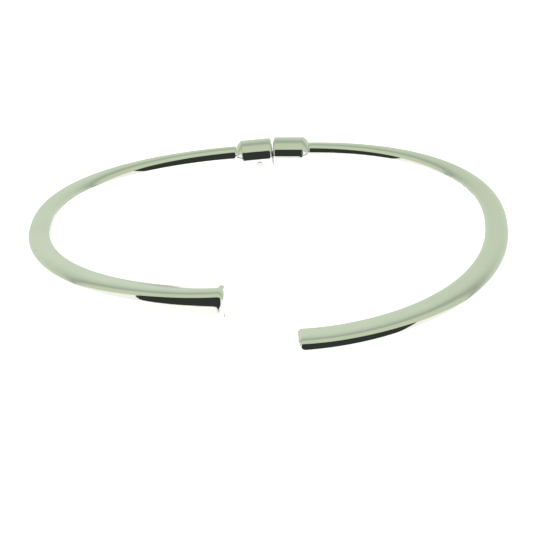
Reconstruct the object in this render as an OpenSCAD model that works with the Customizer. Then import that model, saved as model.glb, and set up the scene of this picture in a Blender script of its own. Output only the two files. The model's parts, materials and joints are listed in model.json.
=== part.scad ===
// Hinged open bangle: two tapered, rounded arms on a sprung barrel hinge.
// Built flat about the oval's centre, then laid on three points on z = 0.

/* [Oval] */
// Half the oval's width, to the middle of the arms
oval_half_width = 31.5; // [28:0.1:36]
// Half the oval's depth, to the middle of the arms
oval_half_depth = 26.7; // [23:0.1:31]
// Squareness of the oval: 2 is an ellipse
oval_power = 2.2; // [2:0.01:2.4]
// How much the oval narrows towards the gap
oval_egg = 0.045; // [0:0.005:0.1]

/* [Arms] */
// Height of an arm where it meets its collar
root_height = 3.5; // [2.6:0.1:3.8]
// Thickness of an arm where it meets its collar
root_thickness = 2.6; // [2:0.1:2.8]
// Height of an arm at the gap
end_height = 4.6; // [4:0.1:6]
// Thickness of an arm at the gap
end_thickness = 5; // [3:0.1:5.6]
// Lean of an arm's section at the gap, its outer face turned up
end_lean = 9; // [0:0.5:12]
// Extra height in the flare at the very end
end_flare = 0.2; // [0:0.1:0.6]
// Radius of the rounded edge round the flat end
end_round = 1; // [0.4:0.1:1.2]
// Gap between the two ends
gap = 8.3; // [7:0.1:14]

/* [Hinge] */
// Diameter of the hinge barrel
barrel_d = 5; // [5:0.1:6]
// Length of each barrel half
barrel_len = 4.5; // [4.5:0.1:6]
// Length of each end collar
collar_len = 0.8; // [0.7:0.1:1.2]
// Angle of the wedge that opens towards the back between the halves
seam_wedge = 3.6; // [3.6:0.2:8]
// Width of the seam at the front, where the halves close
seam_front = 0.06; // [0.04:0.01:0.12]
// Distance of the hinge pin from the seam, inside the right half
pin_offset = 1; // [0.95:0.05:1.2]

/* [Pose] */
// Turn of the left arm about its barrel, its free end up
arm_turn = 7.8; // [0:0.1:12]

/* [Hidden] */
$fn = 64;

// Hinge fits
fit_run = 0.06;      // radial clearance of a part that turns or slides on another
fit_face = 0.02;     // end clearance between stacked parts

// Inside the hinge, all measured from the pin along each barrel
barrel_r = barrel_d / 2;
bore_r = 1.9;
pin_r = 0.45;
eye_r = 0.95;
rod_r = 0.5;
eye_half = 0.55;     // half the flat eye's thickness, a little over the rod's radius
slot_half = eye_half + fit_run;
slot_wide = eye_r + 0.1;
pin_short = 0.04;    // keeps the pin's flat ends inside the barrel's curve
bush_len = 2.5;
bush_recess = 0.05;
bush_pin_r = 0.5;
bush_pin_at = 2;     // along the bush
bush_pin_from = bore_r + fit_face; // from the barrel's axis, on the bush
bush_pin_proud = 0.1;
bush_pin_tilt = 12;  // below the barrel's own level line
washer_r = 1.75;
washer_len = 0.2;
spring_len = 1.7;
spring_r = 1.2;
spring_wire_r = 0.1;
spring_turns = 4;
nut_r = 1.5;
nut_len = 0.4;
collar_recess = 0.5;
rim_bevel = 0.35;    // bevel round the seam's faces

// Lying on the right arm's end, the barrel and the left arm's back
rest_roll = -3.704;
rest_pitch = 0.623;

// The oval. t is 0 at the gap and 180 at the hinge.
function power(v, p) = sign(v) * pow(abs(v), p);
function oval(t) = [
    oval_half_width * power(sin(t), 2 / oval_power) * (1 - oval_egg * cos(t)),
    -oval_half_depth * power(cos(t), 2 / oval_power)];
function heading(t) = let (d = oval(t - 0.05) - oval(t + 0.05)) atan2(d[1], d[0]);

// Where along the oval an arm starts and ends, found by halving the interval
function find_t(x, low, high, steps) = let (mid = (low + high) / 2)
    steps == 0 ? mid :
    (oval(mid)[0] > x) == (mid < 90) ? find_t(x, low, mid, steps - 1) : find_t(x, mid, high, steps - 1);
seam_axis = seam_front / 2 + barrel_r * tan(seam_wedge / 2);
hinge_half = seam_axis + barrel_len + collar_len;
t_root = find_t(hinge_half, 90, 179, 30);
t_end = find_t(gap / 2, 1, 90, 30);
barrel_tilt = -heading(t_root);
face_tilt = barrel_tilt - seam_wedge / 2;

right_face = -pin_offset + seam_axis;
left_face = pin_offset + seam_axis;
right_collar_at = right_face + barrel_len;
left_collar_at = left_face + barrel_len;
bush_at = left_face + bush_recess;
washer_at = bush_at + bush_len + fit_face;
spring_at = washer_at + washer_len;
nut_at = spring_at + spring_len;
pin_at = [pin_offset, oval(t_root)[1] + (hinge_half - pin_offset) * sin(barrel_tilt), 0];

// Placing: the right side keeps still, the left side also turns about its barrel
module lie() {
    translate(rest_shift) rotate([rest_pitch, rest_roll, 0]) translate(pin_at) children();
}
module right_side() {
    lie() rotate([0, 0, -barrel_tilt]) children();
}
module left_link() {
    lie() rotate([0, 0, barrel_tilt]) mirror([1, 0, 0]) children();
}
module left_side() {
    lie() rotate([0, 0, barrel_tilt]) rotate([-arm_turn, 0, 0]) mirror([1, 0, 0]) children();
}

// Round parts along a barrel, drawn along +X from the pin
module along(at) {
    translate([at, 0, 0]) rotate([0, 90, 0]) children();
}
module rod_shape(at, len, r) {
    along(at) cylinder(h = len, r = r);
}

// An arm's section, nearly an ellipse at the collar and a leaning rounded rectangle at the gap,
// then the rings swept along the oval
ring_points = 28;
ring_count = 44;
end_rings = 5;
root_power = 2.2;
outer_power = 3.6;
inner_power = 5;
flare_start = 0.94;

function section(f, thick, high) = [for (i = [0 : ring_points - 1])
    let (a = 360 * i / ring_points, p = taper(root_power, cos(a) > 0 ? outer_power : inner_power, f),
         out = thick / 2 * power(cos(a), 2 / p), up = high / 2 * power(sin(a), 2 / p), lean = end_lean * f)
    [out * cos(lean) - up * sin(lean), out * sin(lean) + up * cos(lean)]];
function taper(root, end, f) = root + (end - root) * f;
function arm_height(f) = taper(root_height, end_height, f)
    + end_flare * pow(max(0, (f - flare_start) / (1 - flare_start)), 2);
function arm_ring(at, dir, f, thick, high) = [for (p = section(f, thick, high))
    [at[0] + sin(dir) * p[0], at[1] - cos(dir) * p[0], p[1]]];

// Rings stop short of the end by its rounded edge, which the last rings turn over
t_round = t_end + end_round * 180 / PI / oval_half_width;
function run_ring(i) = let (f = i / ring_count, t = taper(t_root, t_round, f))
    arm_ring(oval(t), heading(t) + 180, f, taper(root_thickness, end_thickness, f), arm_height(f));
function round_ring(j) = let (a = 90 * j / end_rings, dir = heading(t_round) + 180,
    inset = 2 * end_round * (1 - cos(a)), run = end_round * sin(a))
    arm_ring(oval(t_round) + run * [-cos(dir), -sin(dir)], dir, 1, end_thickness - inset,
             arm_height(1) - inset);

rings = concat([for (i = [0 : ring_count]) run_ring(i)], [for (j = [1 : end_rings]) round_ring(j)]);

// The laid-down arms' own points give the shift that centres the part on its origin
function about_x(p, a) = [p[0], p[1] * cos(a) - p[2] * sin(a), p[1] * sin(a) + p[2] * cos(a)];
function about_y(p, a) = [p[0] * cos(a) + p[2] * sin(a), p[1], p[2] * cos(a) - p[0] * sin(a)];
function about_z(p, a) = [p[0] * cos(a) - p[1] * sin(a), p[0] * sin(a) + p[1] * cos(a), p[2]];
function from_root(p) = [p[0] - oval(t_root)[0], p[1] - oval(t_root)[1], p[2]];
function laid(p) = about_y(about_x(pin_at + p, rest_pitch), rest_roll);
function laid_right(p) = laid(about_z([right_collar_at + collar_len, 0, 0], -barrel_tilt) + from_root(p));
function laid_left(p) = let (q = [left_collar_at + collar_len, 0, 0] + about_z(from_root(p), barrel_tilt))
    laid(about_z(about_x([-q[0], q[1], q[2]], -arm_turn), barrel_tilt));
laid_points = concat([for (ring = rings) for (p = ring) laid_right(p)],
                     [for (ring = rings) for (p = ring) laid_left(p)],
                     [laid(about_z([right_face + rim_bevel, barrel_r, 0], -barrel_tilt))]);
function low(k) = min([for (p = laid_points) p[k]]);
function high(k) = max([for (p = laid_points) p[k]]);
rest_shift = [-(low(0) + high(0)) / 2, -(low(1) + high(1)) / 2, -low(2)];

module arm() {
    points = [for (ring = rings) for (p = ring) p];
    last = len(rings) - 1;
    sides = [for (r = [0 : last - 1]) for (i = [0 : ring_points - 1])
        let (j = (i + 1) % ring_points, a = r * ring_points, b = a + ring_points)
        [a + i, b + i, b + j, a + j]];
    root_cap = [for (i = [0 : ring_points - 1]) i];
    end_cap = [for (i = [0 : ring_points - 1]) (last + 1) * ring_points - 1 - i];
    translate([-oval(t_root)[0], -oval(t_root)[1], 0])
        polyhedron(points = points, faces = concat([root_cap, end_cap], sides), convexity = 4);
}

// A collar that rounds the barrel down to the arm, with a recess that clears the rod's end
module collar() {
    difference() {
        rotate_extrude()
            intersection() {
                union() {
                    square([barrel_r - collar_len, collar_len]);
                    translate([barrel_r - collar_len, 0]) circle(r = collar_len);
                }
                square([barrel_d, barrel_d]);
            }
        translate([0, 0, -1]) cylinder(h = 1 + collar_recess, r = nut_r + 0.1);
    }
}

// A barrel half, its seam face tilted, with the bevelled rim square to that face
module seam_cut() {
    rotate_extrude()
        polygon([[0, 0], [barrel_r - rim_bevel, 0], [2 * barrel_r, barrel_r + rim_bevel],
                 [2 * barrel_r, barrel_d + barrel_len], [0, barrel_d + barrel_len]]);
}
module barrel_blank(face) {
    intersection() {
        along(face - 1) cylinder(h = barrel_len + 1, r = barrel_r);
        translate([face, 0, 0]) rotate([0, 0, face_tilt]) along(0) seam_cut();
    }
}

module right_arm() {
    color("silver")
        right_side() translate([right_collar_at + collar_len, 0, 0]) rotate([0, 0, barrel_tilt]) arm();
}
module left_arm() {
    color("silver")
        left_side() translate([left_collar_at + collar_len, 0, 0]) rotate([0, 0, barrel_tilt]) arm();
}
module right_collar() {
    color("gainsboro") right_side() along(right_collar_at) collar();
}
module left_collar() {
    color("gainsboro") left_side() along(left_collar_at) collar();
}
module right_barrel() {
    color("silver") right_side()
        difference() {
            barrel_blank(right_face);
            translate([-3, -slot_wide, -slot_half]) cube([3 + slot_wide, 2 * slot_wide, 2 * slot_half]);
            translate([0, 0, -barrel_d]) cylinder(h = 2 * barrel_d, r = pin_r);
        }
}
module left_barrel() {
    color("silver") left_side()
        difference() {
            barrel_blank(left_face);
            along(left_face - 1) cylinder(h = barrel_len + 2, r = bore_r);
            along_bush_pin() cylinder(h = barrel_d, r = bush_pin_r);
        }
}
module hinge_pin() {
    color("lightgrey") right_side()
        translate([0, 0, pin_short - barrel_r]) cylinder(h = barrel_d - 2 * pin_short, r = pin_r);
}
module eye_rod() {
    color("lightgrey") left_link()
        difference() {
            union() {
                translate([0, 0, -eye_half]) cylinder(h = 2 * eye_half, r = eye_r);
                rod_shape(0, nut_at + nut_len, rod_r);
            }
            translate([0, 0, -2 * eye_half]) cylinder(h = 4 * eye_half, r = pin_r + fit_run);
        }
}
module seat_nut() {
    color("darkgrey") left_link()
        difference() {
            rod_shape(nut_at, nut_len, nut_r);
            rod_shape(nut_at - 1, nut_len + 2, rod_r);
        }
}
module thrust_washer() {
    color("darkgrey") left_link()
        difference() {
            rod_shape(washer_at, washer_len, washer_r);
            rod_shape(washer_at - 1, washer_len + 2, rod_r + fit_run);
        }
}
module guide_bush() {
    color("grey") left_side()
        difference() {
            rod_shape(bush_at, bush_len, bore_r);
            rod_shape(bush_at - 1, bush_len + 2, rod_r + fit_run);
        }
}
// The pin goes in from the front, square to the barrel, and stops on the bush
bush_pin_len = barrel_r + bush_pin_proud - bush_pin_from;
module along_bush_pin() {
    translate([bush_at + bush_pin_at, 0, 0])
        rotate([90 + bush_pin_tilt, 0, 0]) children();
}
module bush_pin() {
    color("lightgrey") left_side()
        along_bush_pin() translate([0, 0, bush_pin_from])
            intersection() {
                cylinder(h = bush_pin_len, r = bush_pin_r);
                translate([0, 0, bush_pin_len - 3 * bush_pin_r]) sphere(r = 3 * bush_pin_r);
            }
}

// The spring, a round wire swept along a helix
wire_points = 8;
turn_steps = 14;
function spring_point(s, i) = let (a = 360 * s / turn_steps, w = 360 * i / wire_points,
    rise = (spring_len - 2 * spring_wire_r - 2 * fit_face) / (spring_turns * turn_steps))
    [spring_at + fit_face + spring_wire_r + rise * s + spring_wire_r * sin(w),
     (spring_r + spring_wire_r * cos(w)) * cos(a), (spring_r + spring_wire_r * cos(w)) * sin(a)];
module return_spring() {
    steps = spring_turns * turn_steps;
    points = [for (s = [0 : steps]) for (i = [0 : wire_points - 1]) spring_point(s, i)];
    sides = [for (s = [0 : steps - 1]) for (i = [0 : wire_points - 1])
        let (j = (i + 1) % wire_points, a = s * wire_points, b = a + wire_points)
        [a + i, a + j, b + j, b + i]];
    first_cap = [for (i = [0 : wire_points - 1]) wire_points - 1 - i];
    last_cap = [for (i = [0 : wire_points - 1]) steps * wire_points + i];
    color("dimgrey") left_link()
        polyhedron(points = points, faces = concat([first_cap, last_cap], sides), convexity = 6);
}

right_arm();
left_arm();
right_collar();
left_collar();
right_barrel();
left_barrel();
hinge_pin();
eye_rod();
seat_nut();
return_spring();
thrust_washer();
guide_bush();
bush_pin();
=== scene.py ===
"""Looks for the hinged bangle: smooth polished arms, barrels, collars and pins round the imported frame."""
import json
import math

import bmesh
import bpy
from mathutils import Matrix, Vector


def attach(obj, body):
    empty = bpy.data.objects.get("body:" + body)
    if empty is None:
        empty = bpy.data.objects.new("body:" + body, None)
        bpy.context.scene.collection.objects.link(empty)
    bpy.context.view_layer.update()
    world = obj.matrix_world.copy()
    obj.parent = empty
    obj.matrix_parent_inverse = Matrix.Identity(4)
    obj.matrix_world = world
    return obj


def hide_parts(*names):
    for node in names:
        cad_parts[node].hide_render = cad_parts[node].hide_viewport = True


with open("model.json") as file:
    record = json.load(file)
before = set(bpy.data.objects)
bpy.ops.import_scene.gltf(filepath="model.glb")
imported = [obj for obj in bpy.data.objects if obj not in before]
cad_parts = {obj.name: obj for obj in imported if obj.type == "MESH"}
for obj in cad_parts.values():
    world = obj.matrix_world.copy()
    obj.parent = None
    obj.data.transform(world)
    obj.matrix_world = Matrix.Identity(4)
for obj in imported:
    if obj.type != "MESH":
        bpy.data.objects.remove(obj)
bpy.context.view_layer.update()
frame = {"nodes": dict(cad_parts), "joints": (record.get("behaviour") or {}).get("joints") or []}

MM = 0.001

# Driving dimensions of the oval and the arms, in millimetres and degrees, as in the part's own source
OVAL_HALF_WIDTH = 31.5
OVAL_HALF_DEPTH = 26.7
OVAL_POWER = 2.2
OVAL_EGG = 0.045
ROOT_HEIGHT, ROOT_THICKNESS = 3.5, 2.6
END_HEIGHT, END_THICKNESS = 4.6, 5
END_LEAN = 9
END_FLARE = 0.2
FLARE_START = 0.94
END_ROUND = 1
GAP = 8.3
ROOT_POWER, OUTER_POWER, INNER_POWER = 2.2, 3.6, 5
BARREL_R = 2.5
BARREL_LEN = 4.5
COLLAR_LEN = 0.8
SEAM_WEDGE = 3.6
SEAM_FRONT = 0.06
PIN_OFFSET = 1
ARM_TURN = 7.8
BORE_R = 1.9
SLOT_WIDE, SLOT_HALF = 1.05, 0.61
BUSH_PIN_R = 0.5
BUSH_PIN_FROM = 1.92
BUSH_PIN_ALONG = 2.05
BUSH_PIN_TILT = 12
RIM_ALONG, RIM_IN = 0.42, 0.38
BACK_EDGE = 0.08
COLLAR_FIRST, COLLAR_LAST = 60, 36

# The camera in the flat part's own frame, in degrees and millimetres, its focal length as a share of the
# picture's width
CAMERA_RISE, CAMERA_YAW, CAMERA_ROLL = 31.05, -3.63, 4.40
CAMERA_TARGET, CAMERA_DISTANCE = (-0.179, -5.946, 0.379), 311.0
SENSOR_WIDTH = 36
FOCAL_SHARE = 4.29306

# The tent's dark mouth: its middle's height above the horizon and its half sizes, in degrees
MOUTH_RISE, MOUTH_HALF_WIDTH, MOUTH_HALF_HEIGHT, MOUTH_POWER = 28, 53, 27, 7
MOUTH_DARK = (0.032, 0.037, 0.033)
UNDER_WHITE = (1.05, 1.06, 1.04)


# ---------------------------------------------------------------- the oval, as in the part's source
def signed_power(v, p):
    return math.copysign(abs(v) ** p, v)


def oval(t):
    s, c = math.sin(math.radians(t)), math.cos(math.radians(t))
    return Vector((OVAL_HALF_WIDTH * signed_power(s, 2 / OVAL_POWER) * (1 - OVAL_EGG * c),
                   -OVAL_HALF_DEPTH * signed_power(c, 2 / OVAL_POWER), 0))


def heading(t):
    d = oval(t - 0.05) - oval(t + 0.05)
    return math.degrees(math.atan2(d.y, d.x))


def find_t(x, low, high):
    for _ in range(30):
        mid = (low + high) / 2
        if (oval(mid).x > x) == (mid < 90):
            high = mid
        else:
            low = mid
    return (low + high) / 2


def taper(root, end, f):
    return root + (end - root) * f


SEAM_AXIS = SEAM_FRONT / 2 + BARREL_R * math.tan(math.radians(SEAM_WEDGE / 2))
HINGE_HALF = SEAM_AXIS + BARREL_LEN + COLLAR_LEN


def half_t(x, low, high):
    """Bisects on the side of the oval behind the middle, where x falls as t grows."""
    for _ in range(40):
        mid = (low + high) / 2
        low, high = (mid, high) if oval(mid).x > x else (low, mid)
    return (low + high) / 2


T_ROOT = half_t(HINGE_HALF, 90, 179)
T_END = find_t(GAP / 2, 1, 90)
BARREL_TILT = -heading(T_ROOT)
FACE_TILT = BARREL_TILT - SEAM_WEDGE / 2
FACE_AT = {"right": SEAM_AXIS - PIN_OFFSET, "left": SEAM_AXIS + PIN_OFFSET}

# ---------------------------------------------------------------- placing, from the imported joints
joints = {j["name"]: j for j in frame["joints"]}
pin_at = Vector(joints["arm_open"]["pos_m"])
up = -Vector(joints["arm_open"]["axis"]).normalized()
left_axis = Vector(joints["arm_twist"]["axis"]).normalized()
across = (Matrix.Rotation(math.radians(-BARREL_TILT), 3, up) @ -left_axis).normalized()
turned = Matrix((across, up.cross(across), up)).transposed().to_4x4()
lie = Matrix.Translation(pin_at) @ turned @ Matrix.Scale(MM, 4)
mirror = Matrix.Scale(-1, 4, Vector((1, 0, 0)))
PLACES = {
    "right": lie @ Matrix.Rotation(math.radians(-BARREL_TILT), 4, "Z"),
    "link": lie @ Matrix.Rotation(math.radians(BARREL_TILT), 4, "Z") @ mirror,
    "left": (lie @ Matrix.Rotation(math.radians(BARREL_TILT), 4, "Z")
             @ Matrix.Rotation(math.radians(-ARM_TURN), 4, "X") @ mirror),
}


# ---------------------------------------------------------------- mesh helpers
def mesh_from_rings(name, rings, place, closed=True):
    """Skins rings of points, each drawn the same way round, and fills both ends; when not closed it joins the
    last ring back to the first instead.
    """
    bm = bmesh.new()
    rows = [[bm.verts.new(place @ Vector(p)) for p in ring] for ring in rings]
    n = len(rings[0])
    for a, b in zip(rows, rows[1:]):
        for i in range(n):
            j = (i + 1) % n
            bm.faces.new((a[i], b[i], b[j], a[j]))
    if closed:
        bm.faces.new(rows[0])
        bm.faces.new(rows[-1])
    else:
        for i in range(n):
            j = (i + 1) % n
            bm.faces.new((rows[-1][i], rows[0][i], rows[0][j], rows[-1][j]))
    bmesh.ops.recalc_face_normals(bm, faces=bm.faces)
    for f in bm.faces:
        f.smooth = True
    mesh = bpy.data.meshes.new(name)
    bm.to_mesh(mesh)
    bm.free()
    piece = bpy.data.objects.new(name, mesh)
    bpy.context.scene.collection.objects.link(piece)
    return piece


def even_loop(points, count):
    """Picks count points evenly along a closed outline."""
    lengths = [0]
    for a, b in zip(points, points[1:] + points[:1]):
        lengths.append(lengths[-1] + (Vector(b) - Vector(a)).length)
    out, k = [], 0
    for i in range(count):
        want = lengths[-1] * i / count
        while lengths[k + 1] < want:
            k += 1
        a, b = Vector(points[k]), Vector(points[(k + 1) % len(points)])
        out.append(a.lerp(b, (want - lengths[k]) / (lengths[k + 1] - lengths[k])))
    return out


def revolve(profile, count=96):
    """Rings about X from (along, radius) pairs."""
    return [[(x, r * math.cos(2 * math.pi * i / count), r * math.sin(2 * math.pi * i / count))
             for i in range(count)] for x, r in profile]


def arc(cx, cy, rx, ry, a0, a1, steps):
    return [(cx + rx * math.cos(math.radians(a0 + (a1 - a0) * k / steps)),
             cy + ry * math.sin(math.radians(a0 + (a1 - a0) * k / steps))) for k in range(steps + 1)]


# ---------------------------------------------------------------- materials
def polished(name, colour, rough, wave=1.0, specks=True):
    """Mirror-polished metal: slow waviness from hand polishing, hairline scratches, and a few specks."""
    m = bpy.data.materials.new(name)
    m.use_nodes = True
    nt = m.node_tree
    n, link = nt.nodes, nt.links.new
    bsdf = n["Principled BSDF"]
    bsdf.inputs["Metallic"].default_value = 1.0
    where = n.new("ShaderNodeTexCoord").outputs["Object"]

    def noise(scale, detail=2.0, squash=None):
        tex = n.new("ShaderNodeTexNoise")
        tex.inputs["Scale"].default_value = scale
        tex.inputs["Detail"].default_value = detail
        if squash:
            mapping = n.new("ShaderNodeMapping")
            mapping.inputs["Scale"].default_value = squash
            mapping.inputs["Rotation"].default_value = (0.3, 0.2, 0.5)
            link(where, mapping.inputs["Vector"])
            link(mapping.outputs["Vector"], tex.inputs["Vector"])
        else:
            link(where, tex.inputs["Vector"])
        return tex.outputs["Fac"]

    def ramp(fac, low, high, out_low, out_high):
        r = n.new("ShaderNodeMapRange")
        r.inputs["From Min"].default_value = low
        r.inputs["From Max"].default_value = high
        r.inputs["To Min"].default_value = out_low
        r.inputs["To Max"].default_value = out_high
        link(fac, r.inputs["Value"])
        return r.outputs["Result"]

    def maths(op, a, b):
        node = n.new("ShaderNodeMath")
        node.operation = op
        for socket, value in zip(node.inputs, (a, b)):
            if isinstance(value, (int, float)):
                socket.default_value = value
            else:
                link(value, socket)
        return node.outputs[0]

    # colour: silver with the faintest cloudiness, and sparse dust specks a tenth of a millimetre across
    tint = n.new("ShaderNodeMixRGB")
    tint.inputs["Color1"].default_value = (*colour, 1)
    tint.inputs["Color2"].default_value = (*(c * 0.96 for c in colour), 1)
    link(ramp(noise(180, 3), 0.4, 0.7, 0, 1), tint.inputs["Fac"])
    base = tint.outputs["Color"]
    speck = None
    if specks:
        cells = n.new("ShaderNodeTexVoronoi")
        cells.inputs["Scale"].default_value = 420
        link(where, cells.inputs["Vector"])
        near = ramp(cells.outputs["Distance"], 0.03, 0.07, 1, 0)
        chosen = n.new("ShaderNodeSeparateColor")
        link(cells.outputs["Color"], chosen.inputs["Color"])
        speck = maths("MULTIPLY", near, maths("GREATER_THAN", chosen.outputs["Red"], 0.93))
        dirty = n.new("ShaderNodeMixRGB")
        dirty.inputs["Color2"].default_value = (0.33, 0.34, 0.30, 1)
        link(base, dirty.inputs["Color1"])
        link(maths("MULTIPLY", speck, 0.6), dirty.inputs["Fac"])
        base = dirty.outputs["Color"]
    link(base, bsdf.inputs["Base Color"])

    # roughness: hairline scratches and finger-dulled patches
    hair = ramp(noise(90, 4, (1, 14, 60)), 0.58, 0.72, 0, 1)
    cross = ramp(noise(120, 4, (50, 1, 9)), 0.60, 0.74, 0, 1)
    dull = ramp(noise(60, 3), 0.45, 0.75, 0, rough * 0.6)
    scratch = maths("MULTIPLY", maths("MAXIMUM", hair, cross), rough * 1.2)
    total = maths("ADD", maths("ADD", rough, dull), scratch)
    if speck is not None:
        total = maths("ADD", total, maths("MULTIPLY", speck, 0.4))
    link(total, bsdf.inputs["Roughness"])

    # bump: slow waves a few micrometres deep, then the scratches
    waves = n.new("ShaderNodeBump")
    waves.inputs["Strength"].default_value = 1.0
    waves.inputs["Distance"].default_value = 8e-6 * wave
    link(noise(260, 1.5), waves.inputs["Height"])
    fine = n.new("ShaderNodeBump")
    fine.inputs["Strength"].default_value = 0.25
    fine.inputs["Distance"].default_value = 1e-6
    link(maths("MAXIMUM", hair, cross), fine.inputs["Height"])
    link(waves.outputs["Normal"], fine.inputs["Normal"])
    link(fine.outputs["Normal"], bsdf.inputs["Normal"])
    return m


SILVER = (0.93, 0.925, 0.90)
silver = polished("polished_silver", SILVER, 0.035)
collar_silver = polished("collar_silver", SILVER, 0.045, wave=1.5)
# The pin silver is darkened well below the arms' silver as painted shade: its colour stands in for the shaded
# side and dim reflection of the pins
pin_silver = polished("pin_silver", (0.66, 0.69, 0.68), 0.2, specks=False)
hinge_steel = polished("hinge_steel", (0.62, 0.62, 0.61), 0.28, specks=False)


def finish_piece(piece, material, body, slot, *nodes):
    piece.data.materials.append(material)
    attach(piece, body)
    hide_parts(*nodes)
    return piece


# ---------------------------------------------------------------- the arms
def section(f, thick, high, count=112):
    points = []
    lean = Matrix.Rotation(math.radians(END_LEAN * f), 3, "Z")
    for i in range(720):
        a = math.radians(i / 2)
        p = taper(ROOT_POWER, OUTER_POWER if math.cos(a) > 0 else INNER_POWER, f)
        points.append(lean @ Vector((thick / 2 * signed_power(math.cos(a), 2 / p),
                                     high / 2 * signed_power(math.sin(a), 2 / p), 0)))
    return even_loop(points, count)


def arm_height(f):
    flare = max(0, (f - FLARE_START) / (1 - FLARE_START)) ** 2
    return taper(ROOT_HEIGHT, END_HEIGHT, f) + END_FLARE * flare


def arm_rings():
    """Rings in the part's plane, from the collar to the rounded flat end."""
    run, turn_steps = 260, 10
    t_round = T_END + math.degrees(END_ROUND / OVAL_HALF_WIDTH)

    def ring(at, direction, f, thick, high):
        s, c = math.sin(math.radians(direction)), math.cos(math.radians(direction))
        return [Vector((at.x + s * p.x, at.y - c * p.x, p.y)) for p in section(f, thick, high)]

    rings = []
    for i in range(run + 1):
        f = i / run
        t = taper(T_ROOT, t_round, f)
        thick = taper(ROOT_THICKNESS, END_THICKNESS, f)
        rings.append(ring(oval(t), heading(t) + 180, f, thick, arm_height(f)))
    along = heading(t_round) + 180
    ahead = -Vector((math.cos(math.radians(along)), math.sin(math.radians(along)), 0))
    for k in range(1, turn_steps + 1):
        a = math.radians(90 * k / turn_steps)
        inset = 2 * END_ROUND * (1 - math.cos(a))
        rings.append(ring(oval(t_round) + ahead * END_ROUND * math.sin(a), along, 1,
                          END_THICKNESS - inset, arm_height(1) - inset))
    for inset in (0.06, 0.4):
        shrink = 2 * END_ROUND + inset
        rings.append(ring(oval(t_round) + ahead * END_ROUND, along, 1,
                          END_THICKNESS - shrink, arm_height(1) - shrink))
    return rings


ARM_RINGS = arm_rings()
turn = Matrix.Rotation(math.radians(BARREL_TILT), 4, "Z")
for side, body in (("right", "right_side"), ("left", "left_side")):
    start = Matrix.Translation((FACE_AT[side] + BARREL_LEN + COLLAR_LEN, 0, 0)) @ turn
    place = PLACES[side] @ start @ Matrix.Translation(-oval(T_ROOT))
    arm = mesh_from_rings(side + "_arm_polished", ARM_RINGS, place)
    finish_piece(arm, silver, body, "polished_silver", side + "_arm")


# ---------------------------------------------------------------- the barrels
def barrel_rings(side, count=128):
    """From the mouth in the seam face, over the rounded rim, along the barrel and over its back edge."""
    face = FACE_AT[side]
    lean = math.tan(math.radians(FACE_TILT))
    rings = []

    def add(outline, back=0.0, follow=1.0, at=None):
        ring = []
        for y, z in outline:
            plane = face - follow * lean * y
            ring.append((at if at is not None else plane + back, y, z))
        rings.append(ring)

    def circle(r):
        angles = [2 * math.pi * i / count for i in range(count)]
        return [(r * math.cos(a), r * math.sin(a)) for a in angles]

    def slot(grow):
        out = []
        for i in range(count):
            a = 2 * math.pi * i / count
            out.append(((SLOT_WIDE + grow) * signed_power(math.cos(a), 0.25),
                        (SLOT_HALF + grow) * signed_power(math.sin(a), 0.25)))
        return out

    if side == "right":
        add(slot(0), at=SLOT_WIDE)
        add(slot(0), at=SLOT_WIDE - 0.05)
        add(slot(0), back=0.06)
        add(slot(0.03), back=0.015)
        add(slot(0.08), back=0)
    else:
        add(circle(BORE_R), at=face + BARREL_LEN)
        add(circle(BORE_R), at=face + BARREL_LEN - 0.05)
        add(circle(BORE_R), back=0.06)
        add(circle(BORE_R + 0.03), back=0.015)
        add(circle(BORE_R + 0.08), back=0)
    add(circle(BARREL_R - RIM_IN - 0.03))
    for x, r in arc(RIM_ALONG, BARREL_R - RIM_IN, RIM_ALONG, RIM_IN, 180, 90, 12):
        add(circle(r), back=x)
    for k in range(1, 12):
        f = k / 12
        add(circle(BARREL_R), back=taper(RIM_ALONG, BARREL_LEN - 0.12, f), follow=1 - f)
    for x, r in arc(face + BARREL_LEN - BACK_EDGE, BARREL_R - BACK_EDGE, BACK_EDGE, BACK_EDGE, 90, 0, 6):
        add(circle(r), at=x, follow=0)
    if side == "right":
        add(circle(BARREL_R - 0.5), at=face + BARREL_LEN)
    return rings


for side, body in (("right", "right_side"), ("left", "left_side")):
    whole = side == "right"
    barrel = mesh_from_rings(side + "_barrel_polished", barrel_rings(side), PLACES[side], closed=whole)
    finish_piece(barrel, silver, body, "polished_silver", side + "_barrel")


# ---------------------------------------------------------------- collars, soldered to the barrels
def collar_profile(side):
    """A shallow curve from the barrel in to the arm: its slope runs from 30 to 54 degrees."""
    at, r = FACE_AT[side] + BARREL_LEN, BARREL_R - 0.01
    first, last = math.radians(COLLAR_FIRST), math.radians(COLLAR_LAST)
    radius = COLLAR_LEN / (math.cos(last) - math.cos(first))
    rim = arc(at - radius * math.cos(first), r - radius * math.sin(first), radius, radius,
              COLLAR_FIRST, COLLAR_LAST, 24)
    return [(at, 1.75), (at, r - 0.02)] + rim + [(at + COLLAR_LEN, rim[-1][1] - 0.03), (at + COLLAR_LEN, 0.4)]


for side, body in (("right", "right_side"), ("left", "left_side")):
    collar = mesh_from_rings(side + "_collar_polished", revolve(collar_profile(side)), PLACES[side])
    finish_piece(collar, collar_silver, body, "polished_silver", side + "_collar")


# ---------------------------------------------------------------- pins
def dome(length, radius, rise, edge=0.05):
    """A pin along X from 0: its far end is domed by rise."""
    profile = [(0, 0.3 * radius), (0, radius - edge)] + arc(edge, radius - edge, edge, edge, 180, 90, 4)
    profile += [(length - rise, radius)]
    profile += [(length - rise + rise * (1 - (1 - k / 8) ** 2), radius * math.cos(math.radians(90 * k / 8.4)))
                for k in range(1, 9)]
    return profile


def pin_piece(name, profile, place, material, body, node):
    finish_piece(mesh_from_rings(name, revolve(profile, 48), place), material, body, "pin_silver", node)


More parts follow.
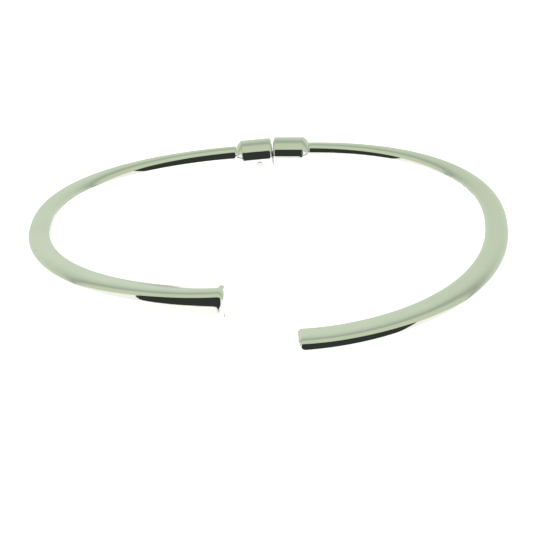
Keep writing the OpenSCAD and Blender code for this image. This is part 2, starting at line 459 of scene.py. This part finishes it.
bush_pin_place = (PLACES["left"] @ Matrix.Translation((FACE_AT["left"] + BUSH_PIN_ALONG, 0, 0))
                  @ Matrix.Rotation(math.radians(90 + BUSH_PIN_TILT), 4, "X")
                  @ Matrix.Translation((0, 0, BUSH_PIN_FROM)) @ Matrix.Rotation(math.radians(-90), 4, "Y"))
pin_piece("bush_pin_domed", dome(BARREL_R + 0.09 - BUSH_PIN_FROM, BUSH_PIN_R, 0.1), bush_pin_place,
          pin_silver, "left_side", "bush_pin")


# ---------------------------------------------------------------- inside the hinge
for node in ("hinge_pin", "eye_rod", "seat_nut", "return_spring", "thrust_washer", "guide_bush"):
    obj = frame["nodes"][node]
    obj.data.materials.clear()
    # the hinge pin gets the pin silver, whose darkened colour is painted shade
    obj.data.materials.append(pin_silver if node == "hinge_pin" else hinge_steel)


# ---------------------------------------------------------------- floor, light and camera
def surroundings():
    """A white tent whose back wall and roof read grey-green, with the dark room showing through its mouth."""
    world = bpy.data.worlds.new("tent")
    bpy.context.scene.world = world
    world.use_nodes = True
    nt = world.node_tree
    n, link = nt.nodes, nt.links.new
    n.clear()

    def maths(op, *values):
        node = n.new("ShaderNodeMath")
        node.operation = op
        for socket, value in zip(node.inputs, values):
            if isinstance(value, (int, float)):
                socket.default_value = value
            else:
                link(value, socket)
        return node.outputs[0]

    def smooth(value, low, high):
        r = n.new("ShaderNodeMapRange")
        r.interpolation_type = "SMOOTHSTEP"
        r.inputs["From Min"].default_value = low
        r.inputs["From Max"].default_value = high
        link(value, r.inputs["Value"])
        return r.outputs["Result"]

    def mix(fac, a, b):
        node = n.new("ShaderNodeMixRGB")
        link(fac, node.inputs["Fac"])
        for socket, value in (("Color1", a), ("Color2", b)):
            if isinstance(value, tuple):
                node.inputs[socket].default_value = (*value, 1)
            else:
                link(value, node.inputs[socket])
        return node.outputs["Color"]

    direction = n.new("ShaderNodeTexCoord").outputs["Generated"]
    xyz = n.new("ShaderNodeSeparateXYZ")
    link(direction, xyz.inputs[0])
    x, y, z = xyz.outputs

    # Angle from the horizon on the tent's open side, over the roof and down the back wall, as a share of 180
    around = maths("DIVIDE", maths("ARCTAN2", z, maths("MULTIPLY", y, -1)), math.pi)
    tent = n.new("ShaderNodeValToRGB")
    stops = [(0, (0.75, 0.78, 0.72)), (0.03, (0.95, 0.97, 0.93)), (44, (0.95, 0.97, 0.93)),
             (52, (0.56, 0.645, 0.45)), (96, (0.55, 0.63, 0.46)), (108, (0.42, 0.485, 0.385)),
             (118, (0.36, 0.42, 0.33)), (128, (0.44, 0.51, 0.40)), (142, (0.53, 0.62, 0.47)),
             (165, (0.60, 0.69, 0.54)), (178, (0.62, 0.71, 0.57)), (180, (0.40, 0.46, 0.38))]
    ramp = tent.color_ramp
    while len(ramp.elements) < len(stops):
        ramp.elements.new(0.5)
    for element, (angle, colour) in zip(ramp.elements, stops):
        element.position = angle / 180
        element.color = (*colour, 1)
    link(around, tent.inputs["Fac"])

    # The mouth: a rounded oblong round the line of sight
    rise = math.radians(MOUTH_RISE)
    toward = maths("SUBTRACT", maths("MULTIPLY", z, math.sin(rise)), maths("MULTIPLY", y, math.cos(rise)))
    above = maths("ADD", maths("MULTIPLY", y, math.sin(rise)), maths("MULTIPLY", z, math.cos(rise)))
    safe = maths("MAXIMUM", toward, 0.01)

    def share(value, half):
        out = maths("ABSOLUTE", maths("DIVIDE", maths("DIVIDE", value, safe), math.tan(math.radians(half))))
        return maths("POWER", out, MOUTH_POWER)

    spread = maths("ADD", share(x, MOUTH_HALF_WIDTH), share(above, MOUTH_HALF_HEIGHT))
    mouth = maths("SUBTRACT", 1, smooth(spread, 0.9, 1.1))
    seen = mix(mouth, tent.outputs["Color"], MOUTH_DARK)

    # Below the horizon and straight to the camera the tent is plain white
    below = smooth(z, 0.004, -0.004)
    seen = mix(below, seen, UNDER_WHITE)
    is_camera = n.new("ShaderNodeLightPath").outputs["Is Camera Ray"]
    seen = mix(is_camera, seen, (1.0, 1.0, 1.0))
    background = n.new("ShaderNodeBackground")
    link(seen, background.inputs["Color"])
    out = n.new("ShaderNodeOutputWorld")
    link(background.outputs[0], out.inputs["Surface"])


def floor():
    """A pale, slightly glossy sheet, lit a little past white."""
    bpy.ops.mesh.primitive_plane_add(size=1.6, location=(0, 0, 0))
    sheet = bpy.context.object
    sheet.name = "floor"
    m = bpy.data.materials.new("white_acrylic")
    m.use_nodes = True
    bsdf = m.node_tree.nodes["Principled BSDF"]
    bsdf.inputs["Base Color"].default_value = (0.8, 0.8, 0.8, 1)
    bsdf.inputs["Roughness"].default_value = 0.6
    bsdf.inputs["Specular IOR Level"].default_value = 0.0
    bsdf.inputs["Coat Weight"].default_value = 0.3
    bsdf.inputs["Coat Roughness"].default_value = 0.02
    bsdf.inputs["Coat IOR"].default_value = 1.5
    bsdf.inputs["Emission Color"].default_value = (1, 1, 0.995, 1)
    bsdf.inputs["Emission Strength"].default_value = 1.05
    sheet.data.materials.append(m)


def camera():
    """Stands where the fitted view stands, given in the flat part's own frame and laid down with it."""
    rise, yaw, roll = (math.radians(v) for v in (CAMERA_RISE, CAMERA_YAW, CAMERA_ROLL))
    s, c = math.sin(rise), math.cos(rise)
    world_to_view = (Matrix.Rotation(roll, 3, "Z") @ Matrix(((1, 0, 0), (0, s, c), (0, -c, s)))
                     @ Matrix.Rotation(yaw, 3, "Z"))
    view_to_world = world_to_view.transposed().to_4x4()
    back = world_to_view.transposed() @ Vector((0, 0, CAMERA_DISTANCE))
    view_to_world.translation = Vector(CAMERA_TARGET) + back
    pin_back = (HINGE_HALF - PIN_OFFSET) * math.sin(math.radians(BARREL_TILT))
    pin_own = Vector((PIN_OFFSET, oval(T_ROOT).y + pin_back, 0))
    placed = lie @ Matrix.Translation(-pin_own) @ view_to_world
    cam_data = bpy.data.cameras.new("camera")
    cam_data.sensor_width = SENSOR_WIDTH
    cam_data.lens = SENSOR_WIDTH * FOCAL_SHARE
    cam_data.clip_start = 0.01
    cam = bpy.data.objects.new("camera", cam_data)
    cam.location = placed.translation
    cam.rotation_euler = placed.to_3x3().normalized().to_euler()
    bpy.context.scene.collection.objects.link(cam)
    bpy.context.scene.camera = cam


surroundings()
floor()
camera()
bpy.context.scene.view_settings.view_transform = "Standard"
